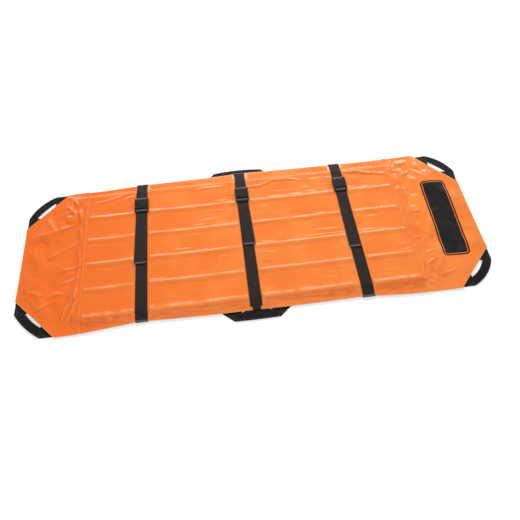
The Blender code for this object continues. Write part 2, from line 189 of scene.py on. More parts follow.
def pulledIn(x, y):
    # The far left corner of the limp flap lies pulled in towards the middle
    return -farPull * ease((-0.75 - x) / 0.09) * ease((y - 0.03) / 0.13)


def underStrap(x, reach):
    # 1 under a strap, falling to 0 beside it
    return sum(1.0 - ease((np.abs(x - middle) - relief["strapHalf"]) / reach) for middle in straps.values())


# The vinyl's relief. Each rib has its seam's y, its height and its width, and each line beside a rib its distance and
# its height. Creases run from (x, y) to (x, y), with a width and a height in metres
relief = {
    "ribs": ((-0.2975, 1.50, 1.30), (-0.1785, 1.02, 1.0), (-0.0595, 0.92, 1.0), (0.0595, 0.70, 0.95),
             (0.1785, 0.76, 1.0), (0.2975, 0.40, 1.1)),
    "lines": ((0.019, 0.16), (0.046, 0.11), (0.087, 0.13)),
    "ribScale": 1.0136, "ribShift": 0.0075, "ribHeight": 0.0040, "ribFar": 0.0104, "ribNear": 0.0120,
    "slatEnd": 0.0125, "fall": 0.070, "drop": (0.55, 0.88), "dropWidth": 0.013,
    "seamGroove": 0.0020, "seamRoll": 0.0013, "secondRow": 0.052,
    "flapLie": 0.0062, "flapSwell": 0.0027, "flapRipple": 0.0016, "nearSag": 0.0016, "farSag": 0.0004,
    "flapLow": 0.0030, "leastLie": 0.0027, "leastHeight": {"slats": 0.01572, "margin": 0.0, "flap": 0.00265},
    "strapHalf": 0.0265, "hem": 0.0005, "overHandle": 0.0016, "creaseWidth": 1.75, "creaseHeight": (1.15, 0.75, 1.15),
}
fieldEnds = [lay["fieldHalf"] * relief["ribScale"] + shift for shift in (relief["ribShift"], -relief["ribShift"])]
leftCreases = [
    (-0.826, 0.285, -0.769, 0.219, 0.0060, 0.0042), (-0.830, 0.237, -0.780, 0.251, 0.0055, 0.0035),
    (-0.818, 0.344, -0.759, 0.269, 0.0070, 0.0040), (-0.797, 0.331, -0.801, 0.247, 0.0055, 0.0030),
    (-0.965, 0.131, -0.846, 0.153, 0.0100, 0.0030), (-0.860, 0.150, -0.762, 0.180, 0.0080, 0.0034),
    (-0.828, 0.024, -0.755, 0.083, 0.0070, 0.0034), (-0.814, -0.068, -0.725, -0.041, 0.0065, 0.0040),
    (-0.775, -0.066, -0.731, -0.044, 0.0050, 0.0030), (-0.815, -0.123, -0.738, -0.107, 0.0075, 0.0040),
    (-0.959, -0.140, -0.852, -0.182, 0.0090, 0.0030), (-0.870, -0.184, -0.780, -0.166, 0.0075, 0.0036),
    (-0.742, -0.155, -0.775, -0.235, 0.0060, 0.0046), (-0.768, -0.225, -0.800, -0.300, 0.0065, 0.0046),
    (-0.728, -0.193, -0.750, -0.250, 0.0050, 0.0034), (-0.745, -0.245, -0.785, -0.315, 0.0060, 0.0036),
    (-0.931, -0.247, -0.808, -0.182, 0.0090, 0.0026), (-0.892, 0.002, -0.825, 0.034, 0.0080, 0.0022),
    (-0.898, -0.159, -0.849, -0.257, 0.0090, 0.0022), (-0.755, 0.262, -0.744, 0.170, 0.0065, 0.0040),
    (-0.746, 0.185, -0.741, 0.020, 0.0065, 0.0034), (-0.742, 0.035, -0.741, -0.060, 0.0055, 0.0034),
    (-0.741, -0.045, -0.748, -0.145, 0.0060, 0.0036), (-0.749, -0.130, -0.752, -0.300, 0.0065, 0.0036),
    (-0.940, 0.060, -0.905, -0.060, 0.0130, 0.0022), (-0.905, 0.235, -0.840, 0.120, 0.0110, 0.0022),
]
rightCreases = [
    (0.688, 0.167, 0.735, 0.174, 0.0050, 0.0026), (0.712, 0.042, 0.766, 0.043, 0.0055, 0.0032),
    (0.690, -0.097, 0.732, -0.086, 0.0050, 0.0026), (0.712, -0.173, 0.764, -0.169, 0.0050, 0.0028),
    (0.723, 0.240, 0.790, 0.288, 0.0065, 0.0036), (0.786, 0.290, 0.842, 0.233, 0.0080, 0.0032),
    (0.726, 0.332, 0.780, 0.329, 0.0080, 0.0034), (0.672, 0.291, 0.750, 0.269, 0.0055, 0.0030),
    (0.775, 0.343, 0.783, 0.272, 0.0065, 0.0028), (0.719, -0.172, 0.782, -0.217, 0.0060, 0.0034),
    (0.722, -0.248, 0.760, -0.297, 0.0060, 0.0038), (0.676, -0.290, 0.735, -0.336, 0.0060, 0.0036),
    (0.699, -0.233, 0.766, -0.202, 0.0060, 0.0034), (0.740, -0.291, 0.838, -0.257, 0.0070, 0.0030),
    (0.697, -0.178, 0.684, -0.284, 0.0055, 0.0032), (0.735, 0.120, 0.741, -0.020, 0.0075, 0.0022),
    (0.760, -0.060, 0.750, -0.160, 0.0080, 0.0024), (0.800, -0.235, 0.900, -0.275, 0.0100, 0.0022),
    (0.845, 0.262, 0.930, 0.232, 0.0100, 0.0018), (0.700, 0.215, 0.716, 0.110, 0.0060, 0.0022),
]
deckCreases = [
    (-0.265, 0.288, -0.055, 0.290, 0.0060, 0.0018), (-0.005, 0.266, 0.075, 0.275, 0.0052, 0.0032),
    (0.055, 0.271, 0.140, 0.296, 0.0050, 0.0034), (0.115, 0.294, 0.240, 0.292, 0.0055, 0.0028),
    (0.200, 0.295, 0.275, 0.276, 0.0050, 0.0018), (0.440, 0.306, 0.585, 0.283, 0.0075, 0.0040),
    (0.540, 0.290, 0.680, 0.262, 0.0065, 0.0032), (0.455, 0.320, 0.585, 0.285, 0.0055, 0.0030),
    (0.655, 0.284, 0.712, 0.272, 0.0055, 0.0024), (-0.650, 0.275, -0.520, 0.312, 0.0060, 0.0018),
    (-0.700, 0.262, -0.540, 0.292, 0.0060, 0.0014), (-0.560, 0.268, -0.505, 0.296, 0.0050, 0.0018),
    (-0.700, -0.312, -0.600, -0.334, 0.0070, 0.0020), (-0.640, -0.308, -0.520, -0.320, 0.0065, 0.0018),
    (-0.450, -0.332, -0.330, -0.314, 0.0080, 0.0022), (-0.340, -0.317, -0.200, -0.334, 0.0080, 0.0020),
    (-0.300, -0.306, -0.150, -0.320, 0.0070, 0.0022), (-0.170, -0.330, -0.060, -0.310, 0.0075, 0.0020),
    (0.020, -0.312, 0.150, -0.332, 0.0075, 0.0018), (0.140, -0.314, 0.300, -0.338, 0.0080, 0.0022),
    (0.300, -0.311, 0.400, -0.332, 0.0075, 0.0022), (0.460, -0.336, 0.560, -0.310, 0.0075, 0.0022),
    (0.540, -0.308, 0.650, -0.338, 0.0080, 0.0022), (0.600, -0.334, 0.680, -0.305, 0.0075, 0.0022),
]


def crumple(end, count, seed):
    # Short creases thrown by seeded dice, most of them close to the cross seam, headed anyway
    dice = np.random.default_rng(seed)
    away = 0.018 + 0.24 * dice.uniform(0, 1, count) ** 1.6
    middleX = lay["leftSeam"] - away if end < 0 else lay["rightSeam"] + away
    middleY = dice.uniform(-0.33, 0.33, count)
    heading = dice.uniform(0, math.pi, count)
    half = dice.uniform(0.014, 0.040, count)
    tall = dice.uniform(0.0003, 0.0008, count) * (1.0 - 0.5 * np.minimum(1.0, away / 0.2))
    tall = tall * np.where(middleY > 0.16, 0.45, 1.0)
    dx, dy = half * np.cos(heading), half * np.sin(heading)
    wide = dice.uniform(0.0050, 0.0090, count)
    return list(zip(middleX - dx, middleY - dy, middleX + dx, middleY + dy, wide, tall))


leftCreases += crumple(-1, 44, 12)
rightCreases += crumple(1, 36, 8)


def creased(x, y, creases, share):
    # Each crease is a soft tent: its height falls off evenly with the distance from its crest, which is rounded, and
    # fades in and out along it as a half sine; a shallow valley lies beyond its near foot
    total = np.zeros_like(x)
    wx = x + 0.0026 * ripples(x, y, 0.085, 31)
    wy = y + 0.0026 * ripples(x, y, 0.085, 32)
    for x0, y0, x1, y1, width, height in creases:
        length = math.hypot(x1 - x0, y1 - y0)
        ux, uy = (x1 - x0) / length, (y1 - y0) / length
        run = ((wx - x0) * ux + (wy - y0) * uy) / length
        off = (wy - y0) * ux - (wx - x0) * uy
        if ux < 0:
            off = -off
        wide = width * relief["creaseWidth"]
        close = (run > 0.0) & (run < 1.0) & (np.abs(off) < 3.5 * wide)
        run, off = run[close], off[close]
        fade = np.sin(math.pi * run) ** 0.9
        away = np.sqrt(off ** 2 + 0.0012 ** 2) - 0.0012
        tent = np.clip(1.0 - away / np.where(off > 0, 0.85 * wide, wide), 0.0, 1.0) ** 1.35
        total[close] += share * height * fade * (tent - 0.22 * bell(off + 1.5 * wide, 0.7 * wide))
    return total


def ribAt(y, x):
    # The welted seams between pockets stand up as rolls, steeper on the far side, and beside each the slat's edges
    # and slack in the vinyl show as faint long lines
    wander = 0.0011 * ripples(x, y * 0, 0.34, 3)
    rolls, lines = 0.0, 0.0
    for seamY, tall, wide in relief["ribs"]:
        d = y - seamY * relief["ribScale"] - relief["ribShift"] - wander
        size = tall * (1.0 + 0.14 * ripples(x, x * 0 + seamY, 0.13, 41))
        if seamY == -lay["fieldHalf"]:
            size = size + 0.30 * ripples(x, x * 0, 0.05, 42)
        rolls = rolls + size * bell(d, wide * np.where(d > 0, relief["ribFar"], relief["ribNear"]))
        for gap, low in relief["lines"]:
            drift = 0.003 * ripples(x, x * 0 + seamY + gap, 0.45, 44)
            beat = 0.6 + 0.6 * ripples(x, x * 0 + gap + seamY, 0.22, 45)
            lines = lines + low * bell(d - gap - drift, 0.0022) * beat
    return relief["ribHeight"] * (rolls + np.where(y < fieldEnds[0] - 0.01, lines, 0.0))


def topHeight(x, y):
    # Height of the vinyl's upper face: a plateau over the slats, a drop and then a flatter slope down each margin, a
    # fall beyond each cross seam, then ribs, rolls, creases, sags and the hem, added one on another
    far = y > 0
    edge = edgeAt(x, far)
    ay = np.abs(y)
    inward = edgeDistance(x, y)
    left = x < 0
    beyond = np.where(left, lay["leftSeam"] - x, x - lay["rightSeam"])
    out = beyond + relief["slatEnd"]
    fall = 1.0 - ease(out / relief["fall"])
    press, pinch = np.where(far, underStrap(x, 0.014), underStrap(x, 0.030)), underStrap(x, 0.011)

    field = np.where(far, fieldEnds[0], fieldEnds[1])
    across = np.clip((ay - field) / (edge - field), 0.0, 1.0)
    bent = bendAt(ay - field, 0.0025) / (edge - field)
    drop = np.where(far, relief["drop"][1], relief["drop"][0])
    free = drop * ease((ay - field + 0.001) / relief["dropWidth"]) + (1.0 - drop) * across
    plateau = lay["top"] - (lay["top"] - lay["edgeTop"]) * (press * np.minimum(bent, 1.02) + (1.0 - press) * free)
    margin = 4.0 * across * (1.0 - across)

    shore = 1.0 - 0.85 * (1.0 - ease(inward / 0.05))
    swell = relief["flapLie"] - relief["flapLow"] + relief["flapSwell"] * facets(x, y, 0.24, 11)
    lie = relief["flapLow"] + shore * (swell * ease(beyond / 0.03) + relief["flapRipple"] * facets(x, y, 0.105, 12))
    lie = np.maximum(lie, relief["leastLie"])
    z = lie + (plateau - lie) * fall

    onDeck = ease((0.004 - beyond) / 0.012)
    slats = onDeck * (1.0 - ease((ay - field + 0.012) / 0.010))
    z = z + ribAt(y, x) * (1.0 - 0.90 * pinch) * ease((0.002 - beyond) / 0.010)
    z = z + slats * (1.0 - press) * 0.00025 * (1.4 + ripples(x, y, 0.10, 13, along=3.5))
    z = z + slats * (1.0 - press) * 0.00003 * (1.2 + ripples(x, y, 0.022, 14, along=7.0))
    limp = 0.6 * ripples(x, y, 0.085, 15, along=1.5) + 0.3 * facets(x, y, 0.06, 16)
    z = z + onDeck * margin * (1.0 - 0.9 * press) * np.where(far, relief["farSag"], relief["nearSag"]) * limp

    # Cross seams: a stitched groove, a roll beyond it, and a second row of stitches beyond the right one
    wander = 0.0016 * ripples(x * 0, y, 0.07, 18)
    z = z - relief["seamGroove"] * bell(beyond + 0.001 + 0.4 * wander, 0.0024)
    z = z + relief["seamRoll"] * bell(beyond - 0.0110 - wander, 0.0075) * (1.0 + 0.35 * ripples(x * 0, y, 0.05, 19))
    z = z - 0.0011 * bell(beyond - relief["secondRow"], 0.0026) * ~left
    z = z + 0.0008 * bell(beyond - 0.0600 - wander, 0.0060) * ~left

    soft = ease(inward / 0.028)
    onFlap = soft * ease((beyond + 0.002) / 0.008)
    for where, creases, share, amount in zip(
            (left & (beyond > -0.004), ~left & (beyond > -0.004), (beyond < 0.010) & (ay > 0.25)),
            (leftCreases, rightCreases, deckCreases), relief["creaseHeight"],
            (onFlap, onFlap, ease(inward / 0.010) * onDeck * (1.0 - press))):
        if where.any():
            z[where] += creased(x[where], y[where], creases, share) * amount[where]

    cut = cutDistance(x, y)
    z = z + relief["overHandle"] * (1.0 - ease((cut - 0.008) / 0.030)) * (1.0 - onDeck)
    z = z + relief["hem"] * (1.0 - ease((inward - 0.0105) / 0.0022)) - 0.0004 * (1.0 - ease(inward / 0.0016))
    least = relief["leastHeight"]
    level = np.where(ay < field - 0.008, least["slats"], least["margin"])
    return np.maximum(z, np.where(onDeck > 0.99, level, least["flap"]))


def topNormal(x, y):
    # The normal of the upper face, from its slopes over a fifth of the finest crease
    h = 0.0009
    sx = (topHeight(x + h, y) - topHeight(x - h, y)) / (2 * h)
    sy = (topHeight(x, y + h) - topHeight(x, y - h)) / (2 * h)
    return unit(np.stack([-sx, -sy, np.ones_like(sx)], axis=-1))


def foldShade(x, y):
    # How much the face bulges, from -1 in a crease's foot to 1 on its crest: less its curvature over 5 mm, squashed.
    # The vinyl is painted lighter on crests and deeper in feet by it: painted highlight and painted shade
    h = 0.005
    bulge = 4 * topHeight(x, y) - topHeight(x + h, y) - topHeight(x - h, y) - topHeight(x, y + h) - topHeight(x, y - h)
    return np.tanh(bulge / 0.0022)


# Meshes
def camel(name):
    return name.title().replace("_", "")


def newPiece(name, mesh, material):
    piece = bpy.data.objects.new(name, mesh)
    bpy.context.scene.collection.objects.link(piece)
    mesh.materials.append(material)
    return piece


def addMap(mesh, name, pairs, corners):
    # A UV map with the pair of each corner's point
    mesh.uv_layers.new(name=name).data.foreach_set("uv", pairs[corners].astype(np.float32).ravel())


def addValues(mesh, name, values):
    mesh.attributes.new(name, "FLOAT", "POINT").data.foreach_set("value", values.astype(np.float32))


def faceNormals(points, faces):
    a, b, d = (points[faces[:, k]] for k in (0, 1, 3))
    return np.cross(b - a, d - a)


def slabMesh(name, top, under, normals, shade, flat, hem):
    # A closed sheet: a grid of upper points, the same grid of lower points, and walls round its rim. The upper
    # face's normals are given, so that sheets that meet in a line shade as one, and the lower face's distances from
    # the outline are negative
    rows, cols = top.shape[:2]
    count = rows * cols
    points = np.concatenate([top.reshape(-1, 3), under.reshape(-1, 3)])
    index = np.arange(count).reshape(rows, cols)
    quads = np.stack([index[:-1, :-1], index[1:, :-1], index[1:, 1:], index[:-1, 1:]], axis=-1).reshape(-1, 4)
    if faceNormals(points, quads[:1])[0, 2] < 0:
        quads = quads[:, ::-1]
    rim = np.concatenate([index[0, :-1], index[:-1, -1], index[-1, :0:-1], index[:0:-1, 0]])
    after = np.roll(rim, -1)
    walls = np.stack([rim, after, after + count, rim + count], axis=-1)
    middle = points[:count].mean(axis=0)
    if faceNormals(points, walls[:1])[0] @ (points[walls[0, 0]] - middle) < 0:
        walls = walls[:, ::-1]
    faces = np.concatenate([quads, quads[:, ::-1] + count, walls])
    mesh = bpy.data.meshes.new(name)
    mesh.from_pydata(points.tolist(), [], faces.tolist())
    above = normals.reshape(-1, 3)
    beside = faceNormals(points, walls)
    beside /= np.maximum(np.linalg.norm(beside, axis=1, keepdims=True), 1e-12)
    mesh.shade_smooth()
    mesh.normals_split_custom_set(np.concatenate([
        above[quads.reshape(-1)], -above[quads[:, ::-1].reshape(-1)], np.repeat(beside, 4, axis=0)]).tolist())
    for label, pair, flip in (("flatMap", flat, 1.0), ("hemMap", hem, -1.0)):
        pair = pair.reshape(-1, 2)
        addMap(mesh, label, np.concatenate([pair, pair * [1.0, flip]]), faces.reshape(-1))
    addValues(mesh, "foldShade", np.tile(shade.ravel(), 2))
    mesh.validate()
    return mesh


def hemCoordinates(x, y):
    # How far a point lies along the outline, and how far in from it
    inward = edgeDistance(x, y)
    ay = np.abs(y)
    run = np.where(inward == edgeAt(x, y > 0) - ay, x, np.where(inward == endDistance(x), y, (np.abs(x) - ay) * 0.7071))
    return np.stack([run, inward], axis=-1)


def spaced(start, stop, step, fine=(), fineStep=0.0016):
    # Values from start to stop, about a step apart, and closer together in the fine stretches
    marks = [start, stop]
    for low, high in fine:
        marks += [min(max(low, start), stop), min(max(high, start), stop)]
    marks = sorted(set(round(m, 6) for m in marks))
    made = [np.array([marks[0]])]
    for low, high in zip(marks[:-1], marks[1:]):
        inside = any(a - 1e-6 <= low and high <= b + 1e-6 for a, b in fine)
        count = max(1, math.ceil((high - low) / (fineStep if inside else step) - 0.01))
        made.append(np.linspace(low, high, count + 1)[1:])
    return np.concatenate(made)


# Shader parts. A Value is a socket on which +, -, *, / and abs place Math nodes
class Value:
    def __init__(self, made, key=0):
        self.socket, self.tree = made.outputs[key], made.id_data

    def __add__(self, other):
        return calc("ADD", self, other)

    def __sub__(self, other):
        return calc("SUBTRACT", self, other)

    def __rsub__(self, other):
        return calc("SUBTRACT", other, self)

    def __mul__(self, other):
        return calc("MULTIPLY", self, other)

    def __truediv__(self, other):
        return calc("DIVIDE", self, other)

    def __rtruediv__(self, other):
        return calc("DIVIDE", other, self)

    def __abs__(self):
        return calc("ABSOLUTE", self)


def feed(socket, value):
    if isinstance(value, Value):
        value.tree.links.new(value.socket, socket)
    else:
        socket.default_value = value


def node(tree, kind, settings=None, **inputs):
    # Inputs go by name or, as i0, i1 and so on, by number
    made = tree.nodes.new("ShaderNode" + kind)
    for key, value in (settings or {}).items():
        setattr(made, key, value)
    for key, value in inputs.items():
        feed(made.inputs[int(key[1:]) if key[1:].isdigit() else key.replace("_", " ")], value)
    return made


def calc(operation, *values, **settings):
    tree = next(value.tree for value in values if isinstance(value, Value))
    numbered = {"i%d" % k: value for k, value in enumerate(values)}
    return Value(node(tree, "Math", {"operation": operation, **settings}, **numbered))


def ranged(value, low, high, toLow=0.0, toHigh=1.0, kind="SMOOTHSTEP"):
    # A value's stretch from low to high is carried to the stretch from toLow to toHigh
    return Value(node(value.tree, "MapRange", {"interpolation_type": kind},
                      Value=value, From_Min=low, From_Max=high, To_Min=toLow, To_Max=toHigh))


def mixed(share, a, b):
    a, b = (colour if isinstance(colour, Value) else (*colour, 1.0) for colour in (a, b))
    return Value(node(share.tree, "Mix", {"data_type": "RGBA"}, i0=share, i6=a, i7=b), 2)


def parts(vector):
    made = node(vector.tree, "SeparateXYZ", Vector=vector)
    return [Value(made, k) for k in range(3)]


def noise(vector, scale, detail=2.0, rough=0.5):
    return Value(node(vector.tree, "TexNoise", Vector=vector, Scale=scale, Detail=detail, Roughness=rough), "Fac")


def stretched(vector, scale, turn=0.0):
    return Value(node(vector.tree, "Mapping", Vector=vector, Scale=scale, Rotation=(0, 0, turn)))


def newGroup(name, inputs, outputs):
    # A node group: an input without a value is a vector, and the other inputs and all outputs are numbers
    tree = bpy.data.node_groups.new(name, "ShaderNodeTree")
    for label, value in inputs.items():
        kind = "NodeSocketVector" if value is None else "NodeSocketFloat"
        socket = tree.interface.new_socket(label, in_out="INPUT", socket_type=kind)
        if value is not None:
            socket.default_value = value
    for label in outputs:
        tree.interface.new_socket(label, in_out="OUTPUT", socket_type="NodeSocketFloat")
    goesIn = tree.nodes.new("NodeGroupInput")
    return tree, [Value(goesIn, label) for label in inputs], tree.nodes.new("NodeGroupOutput").inputs


# Coated cloth: the scrim's fine weave shows through the coating, over a leathery grain and soft dents
coating, (flat, pitch), out = newGroup("coatedCloth", {"Flat": None, "Pitch": 0.0011}, ("Height", "Mottle", "Grime"))
x, y, z = parts(flat)
perMetre = 6.283 / pitch
scrim = calc("SINE", x * perMetre) * calc("SINE", y * perMetre)
dents = noise(stretched(flat, (18.0, 34.0, 1.0)), 1.0, 3.0, 0.5)
feed(out["Height"], dents * 4.5 + noise(flat, 420.0, 3.0, 0.6) * 0.55 + scrim * 0.11)
feed(out["Mottle"], noise(flat, 7.0, 4.0, 0.55))
feed(out["Grime"], ranged(noise(flat, 38.0, 6.0, 0.7), 0.52, 0.72))

# A row of lockstitches: a dash of thread in each pitch, wherever the distance from the row is small
stitching, (along, away, pitch, thread), out = newGroup(
    "stitchRow", {"Along": 0.0, "Away": 0.0, "Pitch": 0.0042, "Thread": 0.00042}, ("Mask", "Dent"))
dash = 1.0 - ranged(abs(calc("FRACT", along / pitch) - 0.5), 0.30, 0.38)
off = abs(away) / thread
feed(out["Mask"], dash * ranged(off, 0.8, 1.25, 1.0, 0.0))
feed(out["Dent"], ranged(off, 0.6, 3.6, 1.0, 0.0))

# Webbing: a herringbone of ribs across the strap, with threads along them, and fuzz
weaving, (strap, rib, half), out = newGroup(
    "webbingWeave", {"Strap": None, "Rib": 0.0016, "Half": 0.025}, ("Height", "Shade", "Selvedge"))
across, along, z = parts(strap)
perMetre = 6.283 / rib
slanted = along + calc("PINGPONG", across, 0.0042) * 0.55
cloth = calc("SINE", slanted * perMetre) * 0.6 + calc("SINE", across * (perMetre * 1.27)) * 0.4
fuzz = noise(strap, 900.0, 2.0, 0.6)
feed(out["Height"], fuzz * 0.6 + cloth)
feed(out["Shade"], ranged(fuzz * 0.5 + cloth, -0.9, 1.2))
feed(out["Selvedge"], ranged(half - abs(across), 0.0008, 0.0034, 1.0, 0.0))


def newMaterial(name):
    made = bpy.data.materials.new(name)
    made.use_nodes = True
    return made, made.node_tree


def dress(tree, colour, rough, height, strength, distance, specular=0.5):
    shader = tree.nodes["Principled BSDF"]
    feed(shader.inputs["Base Color"], colour)
    feed(shader.inputs["Roughness"], rough)
    feed(shader.inputs["Specular IOR Level"], specular)
    feed(shader.inputs["Normal"], Value(node(tree, "Bump", Strength=strength, Distance=distance, Height=height)))


# The vinyl's colours: left and right differ as painted light, lighter and yellower to the right; light and deep paint
# highlights on crests and shade in crease feet
vinylLook = {
    "left": (0.885, 0.167, 0.0162), "right": (0.940, 0.258, 0.046), "deep": (0.900, 0.150, 0.014),
    "light": (0.950, 0.275, 0.052), "thread": (0.850, 0.235, 0.065), "rim": (0.960, 0.420, 0.170),
    "grime": (0.42, 0.10, 0.02), "panel": (0.0040, 0.0036, 0.0036), "roughness": (0.232, 0.195),
    "panelMiddle": (0.860, -0.002), "panelHalf": (0.059, 0.202), "panelTurn": 0.035, "panelCorner": 0.022,
    "seamRow": 0.0100, "hemRow": 0.0088, "rowLength": 1.384, "rowsAcross": 0.624,
}


def makeVinyl():
    made, tree = newMaterial("orangeVinyl")
    flat = Value(node(tree, "UVMap", {"uv_map": "flatMap"}))
    x, y, z = parts(flat)
    run, inset, z = parts(Value(node(tree, "UVMap", {"uv_map": "hemMap"})))
    inward = abs(inset)
    fold = Value(node(tree, "Attribute", {"attribute_name": "foldShade"}), "Fac")
    cloth = node(tree, "Group", {"node_tree": coating}, Flat=flat)
    mottle = Value(cloth, "Mottle")

    # Rows of stitches: one on each side of a lengthwise seam, one by each cross seam, one round the hem
    halfPitch = lay["column"] * relief["ribScale"] / 2
    nearest = calc("PINGPONG", y + (halfPitch - relief["ribShift"]), halfPitch)
    onSlats = calc("COMPARE", x, lay["middleX"], vinylLook["rowLength"] / 2)
    onSlats = onSlats * calc("COMPARE", y, relief["ribShift"], vinylLook["rowsAcross"] / 2)
    rows = [(x, nearest - vinylLook["seamRow"], onSlats), (run, inward - vinylLook["hemRow"], 1.0)]
    rows += [(y, x - at, 1.0) for at in (lay["leftSeam"] - 0.001, lay["rightSeam"] + 0.001,
                                       lay["rightSeam"] + relief["secondRow"])]
    mask = dent = 0.0
    for along, away, share in rows:
        row = node(tree, "Group", {"node_tree": stitching}, Along=along, Away=away)
        mask = calc("MAXIMUM", Value(row, "Mask") * share, mask)
        dent = calc("MAXIMUM", Value(row, "Dent") * share, dent)

    # The printed panel: a rounded rectangle inside a fine orange line
    middle, corner = (*vinylLook["panelMiddle"], 0.0), vinylLook["panelCorner"]
    local = parts(Value(node(tree, "VectorRotate", {"rotation_type": "Z_AXIS"}, Vector=flat, Center=middle,
                             Angle=vinylLook["panelTurn"])))
    qx, qy = (abs(local[k] - middle[k]) - (vinylLook["panelHalf"][k] - corner) for k in (0, 1))
    ox, oy = calc("MAXIMUM", qx, 0.0), calc("MAXIMUM", qy, 0.0)
    depth = calc("SQRT", ox * ox + oy * oy) + calc("MINIMUM", calc("MAXIMUM", qx, qy), 0.0) - corner
    line = ranged(abs(depth + 0.0085), 0.0012, 0.0018, 1.0, 0.0)
    printed = calc("SUBTRACT", ranged(depth, -0.0004, 0.0004, 1.0, 0.0), line, use_clamp=True)
    printed = printed * calc("GREATER_THAN", inset, 0.0)

    grime = Value(cloth, "Grime") * ranged(fold, 0.15, -0.75)
    # Painted light: the orange runs from darker and redder on the left to lighter and yellower on the right
    colour = mixed(ranged(x, -0.76, -0.10, kind="LINEAR"), vinylLook["left"], vinylLook["right"])
    # Painted highlight and shade: light goes on the crests of ribs and creases, deep in their feet; deep also lies in
    # random mottled patches, and the rest are the panel's print, dirt, a paler rim and thread
    for share, tone in (
            (ranged(mottle, 0.70, 0.35, 0.0, 0.5), "deep"), (ranged(fold, 0.10, 0.95, 0.0, 0.60), "light"),
            (ranged(fold, -0.05, -0.90, 0.0, 0.60), "deep"), (printed, "panel"), (grime * 0.12, "grime"),
            (ranged(inward, 0.0004, 0.0024, 0.75, 0.0), "rim"), (mask, "thread")):
        colour = mixed(share, colour, vinylLook[tone])
    rough = ranged(x, -0.10, 0.30, *vinylLook["roughness"]) + (mottle - 0.5) * 0.16 + grime * 0.18 + mask * 0.25
    height = Value(cloth, "Height") - dent * 1.6 + mask * 1.9 + printed * 0.25
    dress(tree, colour, rough, height, 0.55, 0.00016, 0.25)
    return made


def makeBacking():
    made, tree = newMaterial("vinylUnderside")
    flat = Value(node(tree, "UVMap", {"uv_map": "flatMap"}))
    cloth = node(tree, "Group", {"node_tree": coating}, Flat=flat, Pitch=0.0016)
    grime = Value(cloth, "Grime")
    colour = mixed(Value(cloth, "Mottle"), (0.60, 0.125, 0.030), (0.74, 0.17, 0.042))
    colour = mixed(grime * 0.45, colour, (0.24, 0.10, 0.055))
    dress(tree, colour, grime * 0.2 + 0.48, Value(cloth, "Height"), 0.7, 0.00022)
    return made


webbingLook = {
    "strapWebbing": {"half": 0.025, "colour": (0.0265, 0.0170, 0.0150), "dark": (0.0075, 0.0050, 0.0045), "rubAndHighlight": 0.85},
    "handleWebbing": {"half": 0.0155, "colour": (0.0070, 0.0045, 0.0038), "dark": (0.0026, 0.0018, 0.0016), "rubAndHighlight": 0.0},
    "worn": (0.060, 0.053, 0.051), "rubbedAndHighlight": (0.170, 0.150, 0.145), "roughness": 0.45, "rubReach": 0.0055,
    "rubBending": 420.0,
}


def makeWebbing(name):
    made, tree = newMaterial(name)
    look = webbingLook[name]
    strap = Value(node(tree, "UVMap", {"uv_map": "strapMap"}))
    rubAndHighlight = Value(node(tree, "Attribute", {"attribute_name": "rubAndHighlight"}), "Fac")
    weave = node(tree, "Group", {"node_tree": weaving}, Strap=strap, Half=look["half"])
    patches = noise(strap, 28.0, 4.0, 0.6)
    colour = mixed(Value(weave, "Shade"), look["dark"], look["colour"])
    colour = mixed(ranged(patches, 0.52, 0.80, 0.0, 0.22), colour, webbingLook["worn"])
    colour = mixed(Value(weave, "Selvedge") * 0.20, colour, webbingLook["worn"])
    # Lighter where the webbing bends: partly wear from rubbing, partly a painted highlight on the bend
    rubbedAndHighlight = ranged(rubAndHighlight, 0.25, 0.95, 0.0, look["rubAndHighlight"]) * ranged(patches, 0.30, 0.60, 0.45, 1.0)
    colour = mixed(rubbedAndHighlight, colour, webbingLook["rubbedAndHighlight"])
    dress(tree, colour, patches * 0.2 + webbingLook["roughness"], Value(weave, "Height"), 0.8, 0.00025, 0.12)
    return made


def makePlastic():
    # Moulded nylon: spark-eroded grain, paler scuffs in patches, a faint satin
    made, tree = newMaterial("buckleNylon")
    place = Value(node(tree, "TexCoord"), "Object")
    scuffs = ranged(noise(stretched(place, (120.0, 30.0, 60.0), 0.4), 1.0, 6.0, 0.75), 0.56, 0.74)
    colour = mixed(scuffs * 0.5, (0.0045, 0.0042, 0.0042), (0.040, 0.036, 0.036))
    dress(tree, colour, scuffs * 0.2 + 0.30, noise(place, 2600.0, 2.0, 0.6), 0.35, 0.00008, 0.22)
    return made


def makePlywood():
    # Plywood slats: long grain on the faces, plies on the edges, a few darker streaks
    made, tree = newMaterial("slatPlywood")
    place = Value(node(tree, "TexCoord"), "Object")
    rings = noise(stretched(place, (3.0, 90.0, 90.0)), 1.0, 5.0, 0.65)
    plies = calc("SINE", parts(place)[2] * 2900.0)
    colour = mixed(ranged(rings, 0.35, 0.68), (0.42, 0.25, 0.12), (0.70, 0.50, 0.29))
    colour = mixed(ranged(plies, 0.1, 0.9, 0.0, 0.25), colour, (0.36, 0.21, 0.10))
    dress(tree, colour, ranged(rings, 0.2, 0.8, 0.48, 0.66), rings, 0.4, 0.0003)
    return made


vinyl, backing, plastic, plywood = makeVinyl(), makeBacking(), makePlastic(), makePlywood()
strapWebbing, handleWebbing = makeWebbing("strapWebbing"), makeWebbing("handleWebbing")
print("materials made")

deckLook = {
    "alongStep": 0.0042, "acrossStep": 0.0055, "fineStep": 0.0017, "fine": [(-0.312, -0.280), (0.285, 0.312)],
    "baseStep": 0.009, "baseFine": [(-0.306, -0.296), (0.296, 0.306)], "flareFrom": 0.270,
}


